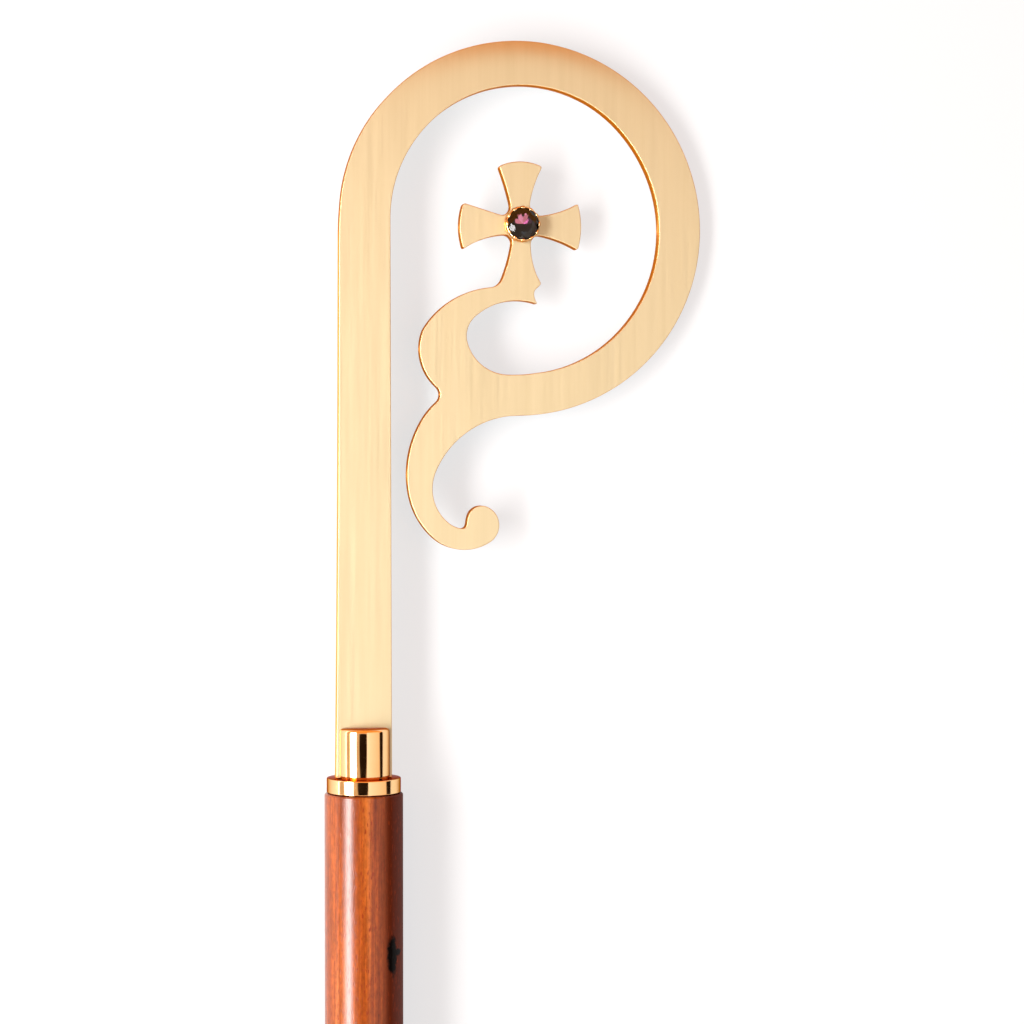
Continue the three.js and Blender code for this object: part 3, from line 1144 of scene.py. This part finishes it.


# %% [markdown]
# ## Glass, and the foil behind it
#
# The cup has a closed bottom, so no light reaches the stone from behind, and a plain stone in it
# would look dull. Jewellers line such a cup with foil: light crosses the stone, is thrown back by
# the foil and crosses it again, so a pale violet glass is enough for a strong colour. Here the
# foil is bright behind three of the back's facets and dim behind a fourth, and near black on the
# rest: the dim and black foil are painted shade, which leaves one clear violet patch in a stone
# that otherwise looks nearly black. The foil is a metal material on the stone's own back facets,
# so it needs no piece of its own.


# %% Glass and foil
def violet_glass():
    """Amethyst, or glass in its colour, cut and polished: clear, with hard mirror flashes."""
    material, tree, shader = new_material("violet_glass")
    where = add_node(tree, "ShaderNodeTexCoord")
    # The colour of an amethyst lies in zones; here they are about 3 mm wide.
    zones = add_node(
        tree,
        "ShaderNodeTexNoise",
        {"Vector": where.outputs["Object"], "Scale": 1 / 0.003, "Detail": 2.0, "Roughness": 0.5},
    )
    colour = add_node(
        tree,
        "ShaderNodeMix",
        {"Factor": zones.outputs["Fac"], "A": linear("#d8a4c8"), "B": linear("#e4b8d6")},
        data_type="RGBA",
    )
    tree.links.new(colour.outputs[2], shader.inputs["Base Color"])
    shader.inputs["Roughness"].default_value = 0.0
    shader.inputs["IOR"].default_value = 1.54
    shader.inputs["Transmission Weight"].default_value = 1.0
    return material


FOIL_PATCH = {"centre": (-0.7 * MM, 2.0 * MM, 2.3 * MM), "radius": 3.1 * MM}
FOIL_EDGE = 0.5 * MM  # the bright patch fades into the painted-shade dark over this width
FOIL_CREASE = 0.8 * MM  # how far the creases push the patch's edge about


def stone_foil(name, bright, dark_shade):
    """Foil pressed behind a stone: a mirror round one place, and elsewhere a dark colour that is
    painted shade.
    """
    material, tree, shader = new_material(name)
    where = add_node(tree, "ShaderNodeTexCoord")
    to_patch = add_node(
        tree,
        "ShaderNodeVectorMath",
        {0: where.outputs["Object"], 1: jewel_place @ Vector(FOIL_PATCH["centre"])},
        operation="DISTANCE",
    )
    # The film's creases are about 1 mm apart and make the patch's edge uneven.
    creases = add_node(
        tree,
        "ShaderNodeTexNoise",
        {"Vector": where.outputs["Object"], "Scale": 1 / 0.001, "Detail": 2.0, "Roughness": 0.5},
    )
    uneven = add_node(
        tree,
        "ShaderNodeMath",
        {0: creases.outputs["Fac"], 1: FOIL_CREASE, 2: to_patch.outputs["Value"]},
        operation="MULTIPLY_ADD",
    )
    radius = FOIL_PATCH["radius"]
    patch_fade = add_node(
        tree,
        "ShaderNodeMapRange",
        {"Value": uneven.outputs["Value"], "From Min": radius, "From Max": radius + FOIL_EDGE},
    )
    colour = add_node(
        tree,
        "ShaderNodeMix",
        {"Factor": patch_fade.outputs["Result"], "A": linear(bright), "B": linear(dark_shade)},
        data_type="RGBA",
    )
    tree.links.new(colour.outputs[2], shader.inputs["Base Color"])
    shader.inputs["Metallic"].default_value = 1.0
    shader.inputs["Roughness"].default_value = 0.06
    return material


# %% The stone in its cup
STONE_BASE = 2.0 * MM  # the stone's point above the setting's foot
# Claws never hold a stone quite level, nor turned square to the cross.
STONE_TILT = Matrix.Rotation(math.radians(-4), 4, "Y")
STONE_TURN = Matrix.Rotation(0.39, 4, "Z")
BRIGHT, THIN, BLACK = 1, 2, 3  # places of the foils among the stone's materials
FOIL_OF_FACET = {0: THIN, 1: BRIGHT, 2: BRIGHT, 3: BRIGHT}

stone_points, stone_faces = brilliant()
stone_place = jewel_place @ Matrix.Translation((0, 0, STONE_BASE)) @ STONE_TILT @ STONE_TURN
stone = mesh_object("stone", stone_points, stone_faces, stone_place)
tidy_mesh(stone, 1)
stone.data.shade_flat()
stone.data.materials.append(print_material(violet_glass()))
stone.data.materials.append(print_material(stone_foil("violet_foil", "#f2c8d4", "#0a0608")))
stone.data.materials.append(print_material(stone_foil("dim_foil_painted_shade", "#3c2230", "#0a0608")))
stone.data.materials.append(print_material(stone_foil("black_foil_painted_shade", "#140c12", "#060406")))
into_stone = stone_place.inverted()
# Back facets without bright foil get dim or black foil: painted shade that keeps the stone dark.
for face in stone.data.polygons:
    corners = [into_stone @ stone.data.vertices[v].co for v in face.vertices]
    if max(c.z for c in corners) > STONE["girdle_low"] * MM + TOUCHING:
        continue
    # The back's eight main facets reach its point, and are numbered round it from +X.
    middle = sum(corners, Vector()) / len(corners)
    facet = round(math.atan2(middle.y, middle.x) / (math.pi / 4)) % 8
    reaches_point = min(c.z for c in corners) < TOUCHING
    face.material_index = FOIL_OF_FACET.get(facet, BLACK) if reaches_point else BLACK
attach(stone, "root")
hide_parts("amethyst")

# %% [markdown]
# ## Varnished hardwood: the grain
#
# The staff is a straight grained, reddish hardwood under several coats of clear varnish. Wood
# has four things to see at this distance: broad bands of lighter and darker growth, fine fibres
# along them, cloudy flecks where the grain dips and rises, and short dark pores. Each is one
# noise pattern, stretched along the staff to its own real size, and a table of those sizes makes
# them all in one loop. The bands choose the colour, fibres and flecks make it darker or paler,
# and the pores are marked for later.

# %% The wood's grain
WOOD_PATTERNS = {
    # Size in mm across, along and through the staff, then the noise's detail, roughness and
    # distortion. Real pores are about 0.2 mm across, and are drawn coarser to show.
    "bands": ((5, 200, 12), 4.0, 0.55, 0.3),
    "fibres": ((0.7, 30, 0.7), 3.0, 0.6, 0.0),
    "pores": ((0.5, 2.8, 0.5), 1.0, 0.4, 0.0),
    "flecks": ((1.2, 3, 1.2), 3.0, 0.6, 0.0),
}
WOOD_COLOURS = [
    (0.30, linear("#531e07")),
    (0.46, linear("#70310c")),
    (0.58, linear("#7f3c11")),
    (0.72, linear("#985624")),
]


def wood_grain(tree, centred):
    """The colour of plain wood, then its fibres and its pores, from 0 to 1, for the relief."""
    seen = {}
    for name, (size, detail, roughness, distortion) in WOOD_PATTERNS.items():
        stretched = add_node(
            tree,
            "ShaderNodeMapping",
            {"Vector": centred, "Scale": [1 / (length * MM) for length in size]},
        )
        noise = add_node(
            tree,
            "ShaderNodeTexNoise",
            {
                "Vector": stretched.outputs["Vector"],
                "Scale": 1.0,
                "Detail": detail,
                "Roughness": roughness,
                "Distortion": distortion,
            },
        )
        seen[name] = noise.outputs["Fac"]
    ground = add_node(tree, "ShaderNodeValToRGB", {"Fac": seen["bands"]}, stops=WOOD_COLOURS)
    fibre_shade = add_node(
        tree,
        "ShaderNodeMapRange",
        {"Value": seen["fibres"], "From Min": 0.3, "From Max": 0.7, "To Min": 0.66, "To Max": 1.3},
    )
    fleck_shade = add_node(
        tree,
        "ShaderNodeMapRange",
        {"Value": seen["flecks"], "From Min": 0.3, "From Max": 0.7, "To Min": 0.78, "To Max": 1.24},
    )
    shade = add_node(
        tree,
        "ShaderNodeMath",
        {0: fibre_shade.outputs["Result"], 1: fleck_shade.outputs["Result"]},
        operation="MULTIPLY",
    )
    streaked = add_node(
        tree,
        "ShaderNodeVectorMath",
        {0: ground.outputs["Color"], "Scale": shade.outputs["Value"]},
        operation="SCALE",
    )
    pore_mark = add_node(
        tree,
        "ShaderNodeMapRange",
        {"Value": seen["pores"], "From Min": 0.62, "From Max": 0.70},
    )
    return streaked.outputs["Vector"], seen["fibres"], pore_mark.outputs["Result"]


print("wood patterns, size in mm:", {name: row[0] for name, row in WOOD_PATTERNS.items()})

# %% [markdown]
# ## The painted shade and the knot
#
# The right side of the staff, away from the lamps, is painted a darker brown: painted shade. In
# it sits a knot, the root of a twig: a dark spindle along the grain with a short spur across it.
# A distance that is divided by a different length along each axis is 1 on the surface of an
# egg, so each of the two is one subtraction, one multiplication and one length, and the nearer
# one counts. Noise added to the distance makes the edge ragged.

# %% The painted shade and the knot
SHADED_SIDE = (6.0 * MM, 10.5 * MM)  # painted shade on the right side, away from the lamps: it starts and is full this far to the right of the axis
# Middle from the staff's axis and the collar's top, and half sizes, in mm.
KNOT_PARTS = {
    "spindle": ((11.2, -70.7, 11.4), (3.0, 8.5, 3.0)),
    "spur": ((13.0, -69.8, 9.3), (3.0, 1.6, 4.0)),
}
KNOT_EDGE = (1.15, 1.6)  # black inside the first distance, plain wood past the second
RAGGED = 0.9


def shaded_side_mark(tree, centred):
    """1 on the staff's right side, where shade is painted darker, and 0 in the rest."""
    parts = add_node(tree, "ShaderNodeSeparateXYZ", {"Vector": centred})
    shaded_side = add_node(
        tree,
        "ShaderNodeMapRange",
        {"Value": parts.outputs["X"], "From Min": SHADED_SIDE[0], "From Max": SHADED_SIDE[1]},
        interpolation_type="SMOOTHSTEP",
    )
    return shaded_side.outputs["Result"]


def knot_mark(tree, centred):
    """1 in the knot and its spur and 0 in the rest."""
    distances = []
    for middle, half_sizes in KNOT_PARTS.values():
        place = Vector(middle) * MM + Vector((0, COLLAR_TOP, 0))
        away = add_node(tree, "ShaderNodeVectorMath", {0: centred, 1: place}, operation="SUBTRACT")
        shaped = add_node(
            tree,
            "ShaderNodeVectorMath",
            {0: away.outputs["Vector"], 1: [1 / (half * MM) for half in half_sizes]},
            operation="MULTIPLY",
        )
        distance = add_node(
            tree,
            "ShaderNodeVectorMath",
            {0: shaped.outputs["Vector"]},
            operation="LENGTH",
        )
        distances.append(distance.outputs["Value"])
    nearest = add_node(tree, "ShaderNodeMath", dict(enumerate(distances)), operation="MINIMUM")
    # The rags of the knot's edge are about 2 mm long.
    rags = add_node(
        tree,
        "ShaderNodeTexNoise",
        {"Vector": centred, "Scale": 1 / (2 * MM), "Detail": 3.0, "Roughness": 0.6},
    )
    uneven = add_node(
        tree,
        "ShaderNodeMath",
        {0: rags.outputs["Fac"], 1: RAGGED, 2: nearest.outputs["Value"]},
        operation="MULTIPLY_ADD",
    )
    knot = add_node(
        tree,
        "ShaderNodeMapRange",
        {
            "Value": uneven.outputs["Value"],
            "From Min": KNOT_EDGE[0],
            "From Max": KNOT_EDGE[1],
            "To Min": 1.0,
            "To Max": 0.0,
        },
        interpolation_type="SMOOTHSTEP",
    )
    return knot.outputs["Result"]


print(f"knot {-KNOT_PARTS['spindle'][0][1]:.0f} mm below the top of the collar")

# %% [markdown]
# ## The varnish
#
# The varnish lies over all of the wood as a clear coat, so the material has two surfaces: matt
# wood below, which gives the colour, and a glossy coat above, which gives the long highlight.
# The coat follows the pores a little, which breaks up the highlight's edges. On the shaded side
# the coat is thinner, which is painted shade too, and a knot is porous, so the varnish sinks in
# there and shines less.


# %% Varnished wood
def varnished_wood():
    """Hardwood, scraped smooth and varnished: deep colour under a soft, slightly broken shine."""
    material, tree, shader = new_material("varnished_hardwood")
    where = add_node(tree, "ShaderNodeTexCoord")
    mapping = add_node(
        tree,
        "ShaderNodeMapping",
        {"Vector": where.outputs["Object"], "Location": (-staff_axis.x, 0, -staff_axis.z)},
    )
    centred = mapping.outputs["Vector"]
    plain, fibres, pores = wood_grain(tree, centred)
    shaded_side = shaded_side_mark(tree, centred)
    knot = knot_mark(tree, centred)
    colour = plain
    # The first mark paints shade on the staff's right side, away from the lamps.
    for mark, darker in ((shaded_side, "#4e1f0e"), (pores, "#6a280c"), (knot, "#050201")):
        laid_over = add_node(
            tree,
            "ShaderNodeMix",
            {"Factor": mark, "A": colour, "B": linear(darker)},
            data_type="RGBA",
        )
        colour = laid_over.outputs[2]
    # The coat is thinner on the shaded side, which is painted shade too, and over the knot.
    shaded_side_and_knot = add_node(tree, "ShaderNodeMath", {0: shaded_side, 1: knot}, operation="MAXIMUM")
    coat = add_node(
        tree,
        "ShaderNodeMapRange",
        {"Value": shaded_side_and_knot.outputs["Value"], "To Min": 1.0, "To Max": 0.2},
    )
    relief = add_node(tree, "ShaderNodeMath", {0: fibres, 1: pores}, operation="SUBTRACT")
    # The wood's own relief is 0.05 mm deep, and the coat above it is a little smoother.
    for socket, strength in (("Normal", 0.35), ("Coat Normal", 0.3)):
        bump = add_node(
            tree,
            "ShaderNodeBump",
            {"Height": relief.outputs["Value"], "Strength": strength, "Distance": 0.05 * MM},
        )
        tree.links.new(bump.outputs["Normal"], shader.inputs[socket])
    tree.links.new(colour, shader.inputs["Base Color"])
    tree.links.new(coat.outputs["Result"], shader.inputs["Coat Weight"])
    shader.inputs["Roughness"].default_value = 0.6
    shader.inputs["Specular IOR Level"].default_value = 0.0  # the coat does all the mirroring
    shader.inputs["Coat Roughness"].default_value = 0.22
    shader.inputs["Coat IOR"].default_value = 1.45
    return material


# %% [markdown]
# ## Staff and ferrule
#
# The staff is turned with a small flat along its underside, because it is shown lying down and
# a true round would touch the table on a line alone. Its top edge is eased under the collar, and
# its lower end is turned down to go into the ferrule, a brass cup with two shallow grooves.

# %% Profiles of the staff and the ferrule
STAFF_SIDES = 144
STAFF_ROWS = 24  # more rows than a plain bar needs, so that its triangles aren't slivers
foot_low, foot_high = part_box("foot_ferrule")
staff_top = staff_high.y / MM
staff_end = staff_low.y / MM
ferrule_end = foot_low.y / MM
ferrule_top = foot_high.y / MM
radius_mm = STAFF_RADIUS / MM

STAFF_PROFILE = [
    (0, staff_end, 0),
    (radius_mm - 2.3, staff_end, 0),
    (radius_mm - 2.3, ferrule_top + 0.3, 0),
    (radius_mm, ferrule_top + 0.3, 0.2),
]
for k in range(1, STAFF_ROWS):
    height = ferrule_top + (staff_top - ferrule_top) * k / STAFF_ROWS
    STAFF_PROFILE.append((radius_mm, height, 0))
STAFF_PROFILE += [
    (radius_mm, staff_top - 0.5, 0.25),
    (radius_mm - 0.5, staff_top, 0.25),
    (0, staff_top, 0),
]
FERRULE_PROFILE = [
    (0, ferrule_end, 0),
    (radius_mm - 1.6, ferrule_end, 0.6),
    (radius_mm, ferrule_end + 1.6, 0.8),
    (radius_mm, ferrule_end + 8.0, 0.15),
    (radius_mm - 0.6, ferrule_end + 8.5, 0.2),
    (radius_mm - 0.6, ferrule_end + 9.1, 0.2),
    (radius_mm, ferrule_end + 9.6, 0.15),
    (radius_mm, ferrule_top - 3.4, 0.15),
    (radius_mm - 0.6, ferrule_top - 2.9, 0.2),
    (radius_mm - 0.6, ferrule_top - 2.3, 0.2),
    (radius_mm, ferrule_top - 1.8, 0.15),
    (radius_mm, ferrule_top - 0.5, 0.3),
    (radius_mm - 0.5, ferrule_top, 0.2),
    (radius_mm - 2.0, ferrule_top, 0.1),
    (radius_mm - 2.0, ferrule_end + 3.0, 0),
    (0, ferrule_end + 3.0, 0),
]


# %% Staff and ferrule
def lathe_on_staff(name, profile):
    """A turned piece on the staff's own axis, with the small flat that it lies on."""
    points, faces = turned_mesh(rounded_profile(profile), STAFF_SIDES)
    placed = [(x + staff_axis.x, y, max(z + staff_axis.z, 0)) for x, y, z in points]
    return tidy_mesh(mesh_object(name, placed, faces))


staff = lathe_on_staff("staff", STAFF_PROFILE)
staff.data.materials.append(print_material(varnished_wood()))
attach(staff, "root")
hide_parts("wood_staff")

ferrule = lathe_on_staff("ferrule", FERRULE_PROFILE)
ferrule.data.materials.append(POLISHED_BRASS)
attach(ferrule, "root")
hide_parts("foot_ferrule")
